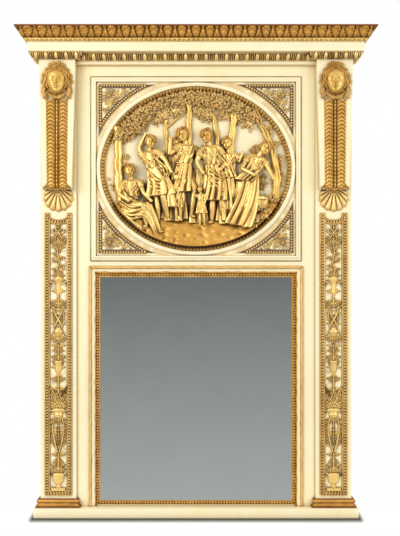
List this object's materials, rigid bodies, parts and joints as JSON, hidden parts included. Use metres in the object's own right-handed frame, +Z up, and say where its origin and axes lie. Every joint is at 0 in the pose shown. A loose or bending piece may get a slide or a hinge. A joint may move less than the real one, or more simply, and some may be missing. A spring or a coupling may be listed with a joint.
{
  "type": "overmantel mirror",
  "caption": "Tall painted and gilt overmantel mirror: rectangular glass below an oval carved relief, between pilasters with masks, under a carved cornice.",
  "frame": {"origin": "middle of the foot on the wall plane, where the plinth's bottom meets its back", "axes": "+X to the viewer's right, -Y out of the wall to the front, +Z up"},
  "size_m": [1.554, 0.205, 2.168],
  "materials": {
    "cream_paint": "aged cream oil paint on pine",
    "gilding": "worn gold leaf over red clay on carved wood",
    "bare_pine": "unfinished aged pine",
    "silvered_glass": "old silvered plate glass",
    "iron": "blackened wrought iron",
    "steel": "plain steel screws",
    "beech": "plain turned hardwood"
  },
  "bodies": {
    "frame": {"backboard": "bare_pine", "bead_strips": "gilding", "bottom_rail": "cream_paint", "button_screws": "steel", "centre_bed_moulding": "gilding", "corona_boards": "cream_paint", "dust_board": "bare_pine", "frieze_strip": "cream_paint", "glass_retainers": "bare_pine", "glue_blocks": "bare_pine", "joint_pegs": "bare_pine", "leaf_moulding": "gilding", "left_base_moulding": "gilding", "left_bed_moulding": "gilding", "left_candelabrum": "gilding", "left_herm_block": "cream_paint", "left_mask": "gilding", "left_panel_border": "gilding", "left_pilaster": "cream_paint", "left_scale_drop": "gilding", "left_shell": "gilding", "left_stile": "cream_paint", "left_wall_batten": "bare_pine", "middle_rail": "cream_paint", "mirror_frame": "gilding", "mirror_glass": "silvered_glass", "oval_leaf_ring": "gilding", "oval_ring": "cream_paint", "plate_screws": "steel", "plinth": "cream_paint", "relief_battens": "bare_pine", "relief_carving": "gilding", "relief_frame": "cream_paint", "relief_ground": "cream_paint", "right_base_moulding": "gilding", "right_bed_moulding": "gilding", "right_candelabrum": "gilding", "right_herm_block": "cream_paint", "right_mask": "gilding", "right_panel_border": "gilding", "right_pilaster": "cream_paint", "right_scale_drop": "gilding", "right_shell": "gilding", "right_stile": "cream_paint", "right_wall_batten": "bare_pine", "rope_moulding": "gilding", "setting_blocks": "bare_pine", "soffit_board": "cream_paint", "spandrel_board": "cream_paint", "spandrel_ornaments": "gilding", "top_rail": "cream_paint", "top_wall_batten": "bare_pine", "wall_plates": "iron"},
    "left_lower_button_body": {"left_lower_button": "beech"},
    "left_upper_button_body": {"left_upper_button": "beech"},
    "right_lower_button_body": {"right_lower_button": "beech"},
    "right_upper_button_body": {"right_upper_button": "beech"}
  },
  "joints": [
    {"name": "left_lower_turn", "type": "hinge", "parent": "frame", "child": "left_lower_button_body", "pos_m": [-0.447, -0.009, 0.2594], "axis": [0, 1, 0], "range_deg": [-90, 90]},
    {"name": "left_upper_turn", "type": "hinge", "parent": "frame", "child": "left_upper_button_body", "pos_m": [-0.447, -0.009, 0.8636], "axis": [0, 1, 0], "range_deg": [-90, 90]},
    {"name": "right_lower_turn", "type": "hinge", "parent": "frame", "child": "right_lower_button_body", "pos_m": [0.447, -0.009, 0.2594], "axis": [0, 1, 0], "range_deg": [-90, 90]},
    {"name": "right_upper_turn", "type": "hinge", "parent": "frame", "child": "right_upper_button_body", "pos_m": [0.447, -0.009, 0.8636], "axis": [0, 1, 0], "range_deg": [-90, 90]}
  ]
}
